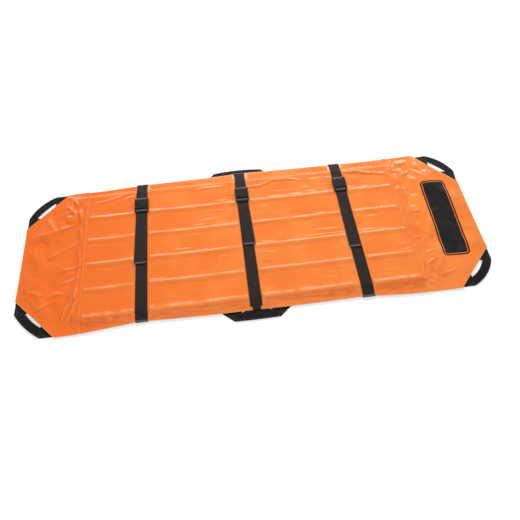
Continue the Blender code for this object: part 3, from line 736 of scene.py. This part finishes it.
def deckRows(low, high):
    # Finer beside the ribs and the drops to the margins
    ribs = [rib[0] * relief["ribScale"] + relief["ribShift"] for rib in relief["ribs"][1:-1]]
    fine = [(rib - 0.016, rib + 0.012) for rib in ribs] + deckLook["fine"]
    fine = [(start, end) for start, end in fine if start < high and end > low]
    return spaced(low, high, deckLook["acrossStep"], fine, deckLook["fineStep"])


def flared(x, y, inner, half):
    # Stretches y beyond inner, so that half comes to lie on the deck's own edge
    ay = np.abs(y)
    edge = edgeAt(x, y > 0)
    return np.copysign(np.where(ay > inner, inner + (ay - inner) * (edge - inner) / (half - inner), ay), y)


def deckGrid(xs, rows):
    x, y = np.meshgrid(xs, rows, indexing="ij")
    return x, flared(x, y, deckLook["flareFrom"], lay["sideHalf"])


def sheetPiece(name, x, y, top, under, material, replaced, normals=None, shade=None, shift=0.0):
    upper, lower = np.stack([x, y + shift, top], axis=-1), np.stack([x, y + shift, under], axis=-1)
    if normals is None:
        normals = unit(np.cross(np.gradient(upper, axis=0), np.gradient(upper, axis=1)))
        normals *= np.sign(normals[..., 2:3])
    if shade is None:
        shade = np.zeros_like(x)
    mesh = slabMesh(name, upper, lower, normals, shade, np.stack([x, y], axis=-1), hemCoordinates(x, y))
    piece = newPiece(name, mesh, material)
    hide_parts(*replaced)
    return piece


def baseUnder(x, y):
    # The base sheet lies on the ground, rises over the straps' ends under each margin, and rises at its two ends
    # to close the pocket against the flap
    rise = lay["edgeBase"] * np.clip((np.abs(y) - lay["fieldHalf"]) / 0.008, 0.0, 1.0)
    out = np.maximum(lay["leftSeam"] + 0.0133 - x, x - lay["rightSeam"] + 0.0133)
    closed = topHeight(x, y) - lay["flapThick"] - lay["sheet"] - 0.0002
    rise = rise + (np.maximum(closed, rise) - rise) * ease(out / 0.0128)
    sagging = 0.0003 * (1.0 + np.sin(x * 61.0) * np.sin(y * 47.0)) * ease(out * -20.0)
    return rise + np.minimum(sagging, 0.0003)


# Each deck piece spans a lengthwise seam, from the column on one side of it to the column on the other
spans = [("outer_far", "inner_far", lay["column"], lay["sideHalf"], lay["outerSeam"]),
         ("inner_far", "centre", 0.0, lay["column"], lay["innerSeam"]),
         ("inner_near", "centre", -lay["column"], 0.0, -lay["innerSeam"]),
         ("outer_near", "inner_near", -lay["sideHalf"], -lay["column"], -lay["outerSeam"])]
foldReach = 0.011


def overFold(piece, seamY):
    # Bakes a piece's placement into its mesh; the reach beside the seam is worked out, but the piece is not bent over
    # it
    toward = foldReach if seamY > 0 else -foldReach
    seamY - toward
    seamY + toward
    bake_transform(piece)


alongXs = spaced(lay["leftSeam"], lay["rightSeam"], deckLook["alongStep"])
baseXs = spaced(lay["leftSeam"], lay["rightSeam"], deckLook["baseStep"],
                [(lay["leftSeam"], -0.700), (0.654, lay["rightSeam"])], 0.0025)
for outerName, innerName, low, high, seamY in spans:
    columnNames = [outerName] + ([innerName] if innerName == "centre" else [])
    flat = (high - low, lay["rightSeam"] - lay["leftSeam"])
    x, y = deckGrid(alongXs, deckRows(low, high))
    top = topHeight(x, y)
    piece = sheetPiece("deckTop" + camel(outerName), x, y, top, top - lay["sheet"], vinyl,
                       ["top_sheet_" + name for name in columnNames], topNormal(x, y), foldShade(x, y))
    overFold(piece, seamY)

    x, y = deckGrid(baseXs, spaced(low, high, deckLook["baseStep"], deckLook["baseFine"], 0.003))
    under = baseUnder(x, y)
    piece = sheetPiece("deckBase" + camel(outerName), x, y, under + lay["sheet"], under, backing,
                       ["base_sheet_" + name for name in columnNames])
    overFold(piece, seamY)
print("deck sheets made")

flapLook = {"alongStep": 0.0036, "acrossStep": 0.0036, "turn": 0.018, "tongue": 0.0072, "gap": 0.0002,
            "sunk": 0.0008}


def flapPiece(end, name, step):
    # u runs from the cross seam to the tip or the cut corner, and v across the strip, out to the flared edge. A thin
    # tongue runs on inside the next strip, so that no gap shows between them when the deck is folded: as wide as the
    # strip lies below the fold's axis, times the tangent of half the fold
    side = -1 if end == "left" else 1
    seam = lay[end + "Seam"]
    length = abs(lay[end + "End"] - seam)
    low = -lay["flapHalf"] if step == -2 else (step - 0.5) * lay["column"]
    high = lay["flapHalf"] if step == 2 else (step + 0.5) * lay["column"]
    cutStart = lay["flapHalf"] - lay["cutAcross"]
    kink = math.copysign(cutStart, step)
    fine = [(kink - 0.0001, kink + 0.0001)] if abs(step) == 2 else []
    lowTongue = [low - flapLook["tongue"], low - flapLook["gap"]] if step > -2 else []
    highTongue = [high + flapLook["gap"], high + flapLook["tongue"]] if step < 2 else []
    vs = np.concatenate([lowTongue, spaced(low, high, flapLook["acrossStep"], fine, 0.0002), highTongue])
    sunk = (vs < low - 0.0001) | (vs > high + 0.0001)
    us = spaced(0.0, 1.0, flapLook["alongStep"] / length, [(0.0, 0.11)], 0.0022 / length)
    u, v = np.meshgrid(us, vs, indexing="ij")
    ends = seam + side * us * length
    tip = 1.0 - 0.32 * ease((us - 0.88) / 0.07)
    for bound, past in ((low, v < low - 0.0001), (high, v > high + 0.0001)):
        below = lay["top"] - topHeight(ends, np.full_like(ends, bound)) + flapLook["sunk"]
        wide = below * np.tan(np.radians(30.0)) - flapLook["gap"]
        share = np.clip(wide / flapLook["tongue"], 0.04, 1.0) * tip
        v = np.where(past, bound + (v - bound) * share[:, None], v)
    cut = np.maximum(0.0, np.abs(v) - cutStart) / lay["cutAcross"]
    x = seam + side * (u * (length - cut * lay["cutAlong"]))
    y = flared(x, v, 1.5 * lay["column"], lay["flapHalf"])
    top = topHeight(x, y)
    under = np.maximum(0.0, top - np.where(sunk, lay["sheet"], lay["flapThick"] * 1.03))
    top = top - np.where(sunk, flapLook["sunk"], 0.0)
    nodeName = "%s_flap_%s" % (end, name)
    strip = sheetPiece(end + "Flap" + camel(name), x, y, top, under, vinyl, [nodeName],
                       topNormal(x, y), foldShade(x, y), pulledIn(x, y))
    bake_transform(strip)
    wide = high - low
    flatArea = wide * length - (0.5 * lay["cutAlong"] * lay["cutAcross"] if abs(step) == 2 else 0.0)
    carrier = "deckTopInnerFar" if name == "centre" else "deckTop" + camel(name)


for end in ("left", "right"):
    for name, step in columns.items():
        flapPiece(end, name, step)
print("flaps made")


def webSection(width, thick, across=8):
    # A flat strip's section, anticlockwise: a level face, a half circle, the other level face, a half circle
    half = width / 2 - thick / 2
    level = np.linspace(-half, half, across + 1)
    turn = np.linspace(-90.0, 90.0, 6)[1:-1] * math.pi / 180
    face = np.stack([level, np.full_like(level, -thick / 2)], axis=1)
    side = np.stack([half + thick / 2 * np.cos(turn), thick / 2 * np.sin(turn)], axis=1)
    return np.concatenate([face, side, -face, -side])


def runOf(path):
    return np.concatenate([[0.0], np.cumsum(np.linalg.norm(np.diff(path, axis=0), axis=1))])


def band(spine, section, sign=1.0):
    # The section carried along the spine, level in x; its upwards is x, or -x by the sign, crossed with the heading
    side = np.array([sign, 0.0, 0.0])
    ups = unit(np.cross(side, unit(np.gradient(spine, axis=0))))
    return spine[:, None] + side * section[:, :1] + ups[:, None] * section[:, 1:], runOf(spine), section[:, 0]


def bandMesh(name, bands):
    # One mesh of closed bands; each is (points, run along it, distance across it), and its ends are filled. The lighter
    # colour laid on a band where it bends, partly wear from rubbing and partly painted highlight, grows with its
    # bending
    points, faces, coordinates, rubs = [], [], [], []
    base = 0
    for grid, run, across in bands:
        heading = np.gradient(grid.mean(axis=1), run, axis=0)
        bending = np.linalg.norm(np.gradient(heading, run, axis=0), axis=1)
        bending = np.where(np.abs(run[:, None] - run) < webbingLook["rubReach"], bending, 0.0).max(axis=1)
        rubs.append(np.repeat(np.clip(bending / webbingLook["rubBending"], 0.0, 1.0), grid.shape[1]))
        shape = grid.shape[:2]
        index = np.arange(shape[0] * shape[1]).reshape(shape) + base
        right = np.roll(index, -1, axis=1)
        quads = np.stack([index[:-1], right[:-1], right[1:], index[1:]], axis=-1).reshape(-1, 4)
        faces += quads.tolist() + [index[0, ::-1].tolist(), index[-1].tolist()]
        points.append(grid.reshape(-1, 3))
        place = [np.broadcast_to(across, shape), np.broadcast_to(run[:, None], shape)]
        coordinates.append(np.stack(place, axis=-1).reshape(-1, 2))
        base += index.size
    mesh = bpy.data.meshes.new(name)
    mesh.from_pydata(np.concatenate(points).tolist(), [], faces)
    corners = np.zeros(len(mesh.loops), np.int32)
    mesh.loops.foreach_get("vertex_index", corners)
    addMap(mesh, "strapMap", np.concatenate(coordinates), corners)
    addValues(mesh, "rubAndHighlight", np.concatenate(rubs))
    whole = bmesh.new()
    whole.from_mesh(mesh)
    bmesh.ops.recalc_face_normals(whole, faces=whole.faces)
    whole.to_mesh(mesh)
    whole.free()
    mesh.shade_smooth()
    mesh.set_sharp_from_angle(angle=math.radians(50.0))
    return mesh


# Webbing passes under a buckle's bar at webLow and over it at webHigh; bend is the radius of its middle round an edge
strapLook = {
    "tailEnd": {"left": -0.077, "middle": -0.043, "right": -0.113},
    "tailSkew": {"left": -0.0070, "middle": 0.0065, "right": -0.0045},
    "underRun": 0.038, "overRun": 0.0126, "hemBack": 0.011, "narrowEnd": 0.034, "loopStart": 0.267,
    "longEnd": 0.1955, "step": 0.0035, "tailStart": 0.186, "buckle": (0.180, 0.268), "release": 0.032,
}
strapSection = webSection(lay["web"], lay["webThick"])
webLow, webHigh = 0.0171, 0.0192
bend = lay["clear"] + lay["webThick"] / 2
barHalfY, barHalfZ, barZ = 0.00225, 0.00275, 0.0183 + 0.00275
plugBarY, socketBarY = 0.19775, 0.25985


def quarter(y, z, radius, start, end):
    # A quarter turn about (y, z), from one angle to another in degrees
    a = np.radians(np.linspace(start, end, 6))
    return np.stack([y + radius * np.cos(a), z + radius * np.sin(a)], axis=1)


def overBar(barY):
    # In at webLow, up the far side of the bar, over it and down the near side to webHigh
    far, near = barY + barHalfY, barY - barHalfY
    return np.concatenate([
        quarter(far, webLow + bend, bend, -90.0, 0.0), quarter(far, barZ + barHalfZ, bend, 0.0, 90.0),
        quarter(near, barZ + barHalfZ, bend, 90.0, 180.0), quarter(near - 2 * bend, webHigh + bend, bend, 0.0, -90.0),
    ])


def lowLie(ys, middle):
    # Middle height of webbing on the vinyl: the highest of the vinyl under its width, smoothed along the strap
    fineY = np.linspace(-0.36, 0.36, 721)
    x, y = np.meshgrid(middle + np.linspace(-0.024, 0.024, 9), fineY, indexing="ij")
    edge = edgeAt(x, y > 0)
    high = topHeight(x, np.clip(y, -edge + 0.0005, edge - 0.0005)).max(axis=0)
    kernel = bell(np.arange(-12, 13) * 0.001, 0.005)
    high = np.convolve(np.pad(high, 12, mode="edge"), kernel / kernel.sum(), mode="valid")
    lift = high + bend * np.sqrt(1.0 + np.gradient(high, fineY) ** 2)
    start, end = strapLook["buckle"]
    return np.interp(ys, fineY, np.where((fineY > start) & (fineY < end), webLow, lift))


def lyingPath(ys, middle, second=False):
    # (y, z) of webbing that lies on the vinyl or, as a second layer, on other webbing
    z = lowLie(ys, middle)
    return np.stack([ys, np.maximum(z + 2 * bend, webHigh) if second else z], axis=1)


def strapBand(path, middle, skew=0.0, section=strapSection):
    # A path of (y, z) at the strap's middle, carried across x; skew moves it sideways point by point
    return band(np.stack([np.full(len(path), middle) + skew, path[:, 0], path[:, 1]], axis=1), section)


def strapPiece(name, bands, replaced):
    piece = newPiece(name, bandMesh(name, bands), strapWebbing)
    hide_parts(replaced)
    return piece


def anchorPath(side, middle):
    # Under the margin, round the edge and onto its slope
    edge = float(edgeAt(middle, side > 0))
    low, high = lay["webThick"] / 2, lay["edgeTop"] + lay["clear"] + lay["webThick"] / 2
    radius = (high - low) / 2
    a = np.radians(np.linspace(-90.0, 90.0, 15))
    turn = np.stack([edge + lay["clear"] + radius * np.cos(a), low + radius + radius * np.sin(a)], axis=1)
    inside = np.stack([np.linspace(edge - strapLook["underRun"], edge - 0.002, 8), np.full(8, low)], axis=1)
    overY = np.linspace(edge - 0.003, edge - strapLook["overRun"], 5)
    over = np.stack([overY, lowLie(side * overY, middle)], axis=1)
    return np.concatenate([inside, turn, over]) * [side, 1.0]


def tailShift(strap, ys):
    # The tail slants off to one side, evenly from the plug to its end
    start = strapLook["tailStart"]
    return strapLook["tailSkew"][strap] * (start - ys) / (start - strapLook["tailEnd"][strap])


def tailBand(strap, middle, low, high):
    # The tail from high down to low, or to its end, which is turned back on itself
    tailEnd, thick = strapLook["tailEnd"][strap], lay["webThick"] / 2 + 0.0001
    path = lyingPath(spaced(max(low, tailEnd), high, strapLook["step"])[::-1], middle, second=True)
    if tailEnd > low:
        z = path[-1, 1] + thick
        turn = [quarter(tailEnd, z, thick, start, start - 90.0)[1:] for start in (270.0, 180.0)]
        back = np.linspace(tailEnd + 0.002, tailEnd + strapLook["hemBack"], 5)
        path = np.concatenate([path, *turn, np.stack([back, np.full(5, z + thick)], axis=1)])
    return strapBand(path, middle, tailShift(strap, path[:, 0]))


for strap, middle in straps.items():
    ends = {}
    for side, label in ((1, "far"), (-1, "near")):
        path = anchorPath(side, middle)
        ends[label] = path[-1, 0]
        narrow = strap == "middle" and side < 0
        section = webSection(strapLook["narrowEnd"], lay["webThick"]) if narrow else strapSection
        piece = strapPiece("%sStrap%sAnchor" % (strap, label.title()), [strapBand(path, middle, section=section)],
                           "strap_%s_%s_anchor" % (strap, label))
        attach(piece, "outer_" + label)

    # The short stretch runs from the far anchor to beside the socket's bar; the loop round the bar, sewn back over
    # it, goes with the socket, which slides over the short stretch as it comes off
    ys = spaced(strapLook["loopStart"], ends["far"], strapLook["step"])[::-1]
    short = strapPiece(strap + "StrapShort", [strapBand(lyingPath(ys, middle), middle)], "strap_%s_short" % strap)
    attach(short, "outer_far")
    strap + "_buckle_release"
    1.0 - strapLook["release"] / (ends["far"] - strapLook["loopStart"])
    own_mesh(short)
    loop = overBar(-socketBarY) * [-1.0, 1.0]
    ys = np.array([strapLook["loopStart"] - 0.0003, loop[0, 0] + 0.0008])
    lap = np.linspace(loop[-1, 0] + 0.002, loop[-1, 0] + 0.022, 9)
    loop = np.concatenate([lyingPath(ys, middle), loop, lyingPath(lap, middle, second=True)])
    piece = strapPiece(strap + "StrapLoop", [strapBand(loop, middle)], "strap_%s_short" % strap)
    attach(piece, strap + "_socket")

    # The long stretch, split at the columns' middles, so that each part spans one seam; its tail lies on it
    for letter, inner, outer, low, high, seamY in (
            ("A", "inner_near", "outer_near", ends["near"], -lay["column"], -lay["outerSeam"]),
            ("B", "centre", "inner_near", -lay["column"], 0.0, -lay["innerSeam"]),
            ("C", "centre", "inner_far", 0.0, lay["column"], lay["innerSeam"]),
            ("D", "inner_far", "outer_far", lay["column"], strapLook["longEnd"], lay["outerSeam"])):
        path, shift = lyingPath(spaced(low, high, strapLook["step"]), middle), 0.0
        if letter == "D":
            loop = overBar(plugBarY)
            back = spaced(low, loop[-1, 0] - 0.002, strapLook["step"])[::-1]
            upTo = len(path) + len(loop)
            path = np.concatenate([path, loop, lyingPath(back, middle, second=True)])
            shift = np.where(np.arange(len(path)) < upTo, 0.0, tailShift(strap, path[:, 0]))
        bands = [strapBand(path, middle, shift)]
        if letter in "BC" and strapLook["tailEnd"][strap] < high - 0.01:
            bands.append(tailBand(strap, middle, low, high))
        piece = strapPiece("%sStrapLong%s" % (strap, letter), bands, "strap_%s_long" % strap)
        overFold(piece, seamY)
print("straps made")

# Handles, in their own frame: x along the hinge line and y outwards. A wide strip leaves the edge slantwise, and
# from its corner on it is folded narrow, for a grip that bows outwards
handleLook = {
    "every": {"tuck": 0.012, "thin": 0.0017, "thick": 0.0034},
    "corner": {"foot": 0.118, "fold": 0.035},
    "side": {"foot": 0.1365, "fold": 0.0440},
    "left_far": {"corner": (0.0798, 0.0382), "crest": 0.0545, "opening": 0.0178},
    "left_near": {"corner": (0.0798, 0.0382), "crest": 0.0470, "opening": 0.0115, "fold": 0.044},
    "right_far": {"corner": (0.0798, 0.0470), "crest": 0.0645, "opening": 0.0255, "fold": 0.038},
    "right_near": {"corner": (0.0798, 0.0382), "crest": 0.0538, "opening": 0.0185, "fold": 0.040},
    "side_near": {"corner": (0.0920, 0.0375), "crest": 0.0392, "opening": -0.0080},
    "side_far": {"foot": 0.1480, "corner": (0.1130, 0.0385), "crest": 0.0466, "opening": -0.0040, "thick": 0.0018},
}


def ribbon(outer, inner, thick):
    # A closed band between two edge lines, of the given thickness at each point of them; its sides are half round
    a = np.linspace(-0.5, 0.5, 11)
    turn = np.radians(np.linspace(-90.0, 90.0, 6)[1:-1])
    share = np.concatenate([a, np.full(4, 0.5), -a, np.full(4, -0.5)])
    bulge = np.concatenate([a * 0, np.cos(turn), a * 0, -np.cos(turn)])
    tall = np.concatenate([a * 0 - 1, np.sin(turn), a * 0 + 1, -np.sin(turn)])
    thick = thick[:, None]
    width = np.linalg.norm(outer - inner, axis=1, keepdims=True)
    across = -(share * (width - thick) + bulge * thick / 2)
    crown = 1.0 + 0.35 * (tall > 0.5) * (1.0 - (2 * share) ** 2) * (thick > 0.0030)
    grid = ((outer + inner) / 2)[:, None] + across[..., None] * unit(outer - inner)[:, None]
    grid[..., 2] += tall * crown * thick / 2
    return grid, runOf(outer), across


def foldedHandle(kind, key):
    # Outer line: a straight leg to the corner, then a parabola. Inner line: square to the leg under the edge, then,
    # past the corner, a parabola above the opening
    look = {**handleLook["every"], **handleLook[kind], **handleLook[key]}
    crest, opening = look["crest"], look["opening"]
    cx, cy = look["corner"]
    toCorner = np.array([look["foot"] - cx, cy])
    leg = unit(toCorner)
    square = np.array([leg[1], -leg[0]])
    legOuter = np.array([-look["foot"], 0.0]) + np.linspace(-0.25, 1.0, 12)[:, None] * toCorner
    legInner = legOuter + square * ((legOuter[:, 1:] + look["tuck"]) / leg[0])
    xs = np.linspace(-1.0, 1.0, 41)[:, None]
    corner = np.array([-cx, cy]) + square * look["fold"]
    gripOuter = np.concatenate([xs * cx, crest - (crest - cy) * xs ** 2], axis=1)
    gripInner = np.concatenate([xs * -corner[0], opening - (opening - corner[1]) * xs ** 2], axis=1)
    gripOuter[[0, -1], 0] *= 0.992
    gripInner[[0, -1], 0] *= 0.992
    flip = np.array([-1.0, 1.0])
    outer = np.concatenate([legOuter, gripOuter, legOuter[::-1] * flip])
    inner = np.concatenate([legInner, gripInner, legInner[::-1] * flip])
    grip = ease((cx + 0.002 - np.abs(outer[:, 0])) / 0.012)
    thick = look["thin"] + (look["thick"] - look["thin"]) * grip
    z = (thick / 2 + 0.0001)[:, None]
    return ribbon(np.hstack([outer, z]), np.hstack([inner, z]), thick)


def tabBand(wide):
    # The tab that joins the near grip to the strap's end, over the deck's edge
    ys, thick = np.linspace(-0.010, 0.024, 9), handleLook["every"]["thick"]
    lift = thick + 0.0014 + (lay["edgeTop"] + 0.0012 - thick) * ease((0.004 - ys) / 0.006)
    return band(np.stack([np.zeros(9), ys, lift], axis=1), webSection(wide, lay["webThick"], 6), -1.0)


def handlePiece(name, bands, origin, turn, bodyOut, shift=0.0):
    # Turns the handle's frame about z and moves it to its hinge, on the ground
    c, s = math.cos(turn), math.sin(turn)
    spin = np.array([[c, -s, 0.0], [s, c, 0.0], [0.0, 0.0, 1.0]])
    placed = [(grid @ spin.T + origin + [0.0, shift, 0.0], run, across) for grid, run, across in bands]
    piece = newPiece(name, bandMesh(name, placed), handleWebbing)
    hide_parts(bodyOut)
    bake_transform(piece)


cutMiddle = (lay["rightEnd"] - lay["cutAlong"] / 2, lay["flapHalf"] - lay["cutAcross"] / 2)
for end, side in (("left", -1), ("right", 1)):
    for edge, across in (("far", 1), ("near", -1)):
        key = "%s_%s" % (end, edge)
        origin = (side * cutMiddle[0], across * cutMiddle[1], 0.0)
        outward = math.atan2(across * lay["cutAlong"], side * lay["cutAcross"])
        handlePiece(end + "Handle" + edge.title(), [foldedHandle("corner", key)], origin, outward - math.pi / 2,
                    "handle_" + key, -farPull if key == "left_far" else 0.0)
handlePiece("sideHandleFar", [foldedHandle("side", "side_far")], (lay["middleX"] - 0.006, lay["sideHalf"], 0.0), 0.0,
            "handle_side_far")
handlePiece("sideHandleNear", [foldedHandle("side", "side_near"), tabBand(0.030)],
            (lay["middleX"], -lay["sideHalf"], 0.0), math.pi, "handle_side_near")
print("handles made")

# The model's own solids that stay: slats and buckles
for nodeName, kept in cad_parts.items():
    if nodeName.startswith("slat_") or "_prong_" in nodeName or nodeName.endswith(("_plug", "_socket")):
        kept.data.materials.clear()
        kept.data.materials.append(plywood if nodeName.startswith("slat_") else plastic)
print("buckles and slats finished")

# Floor and light: each softbox has its place, its size, and its power in watts
studio = {"floor": 0.93, "lift": 0.15, "sky": 0.395, "tint": (0.95, 0.98, 1.0),
          "lamps": [((0.28, 2.45, 1.20), (3.84, 0.52), 83.0), ((2.40, -0.10, 1.60), (1.2, 1.2), 2.0),
                    ((-0.40, -1.75, 2.50), (3.0, 3.0), 46.0)]}


def whiteRay(tree):
    # 1 for the rays that see the white background: from the camera, off gloss and through glass
    seen = node(tree, "LightPath")
    either = calc("MAXIMUM", Value(seen, "Is Camera Ray"), Value(seen, "Is Glossy Ray"))
    return calc("MAXIMUM", either, Value(seen, "Is Transmission Ray"))


def makeFloor():
    mesh = bpy.data.meshes.new("floor")
    corners = [(x, y, -0.0003) for x, y in ((-9.0, -9.0), (9.0, -9.0), (9.0, 9.0), (-9.0, 9.0))]
    mesh.from_pydata(corners, [], [(0, 1, 2, 3)])
    made, tree = newMaterial("paleFloor")
    shader = tree.nodes["Principled BSDF"]
    shader.inputs["Base Color"].default_value = (studio["floor"],) * 3 + (1.0,)
    shader.inputs["Roughness"].default_value = 0.9
    shader.inputs["Specular IOR Level"].default_value = 0.1
    none, glow = (Value(node(tree, "Emission", Strength=strength)) for strength in (0.0, studio["lift"]))
    lift = Value(node(tree, "MixShader", i0=whiteRay(tree), i1=none, i2=glow))
    feed(tree.nodes["Material Output"].inputs["Surface"], Value(node(tree, "AddShader", i0=Value(shader), i1=lift)))
    newPiece("floor", mesh, made)


def makeWorld():
    # The sky lights evenly at its own strength, and is plain white where it is seen
    world = bpy.data.worlds.new("studio")
    bpy.context.scene.world = world
    world.use_nodes = True
    tree = world.node_tree
    sky = tree.nodes["Background"]
    sky.inputs["Color"].default_value = (*studio["tint"], 1.0)
    sky.inputs["Strength"].default_value = studio["sky"]
    white = node(tree, "Background", Strength=1.0)
    choose = node(tree, "MixShader", i0=whiteRay(tree), i1=Value(sky), i2=Value(white))
    feed(tree.nodes["World Output"].inputs["Surface"], Value(choose))


def makeLamp(name, place, size, power):
    # A softbox that faces the origin
    data = bpy.data.lights.new(name, "AREA")
    data.shape = "RECTANGLE"
    data.size, data.size_y = size
    data.energy = power
    back = unit(place)
    right = unit(np.cross([0.0, 0.0, 1.0], back))
    stand(data, right, np.cross(back, right), back, place)


makeFloor()
makeWorld()
for number, lamp in enumerate(studio["lamps"]):
    makeLamp("softbox%d" % number, *lamp)
bpy.context.scene.view_settings.view_transform = "Standard"
print("studio made")
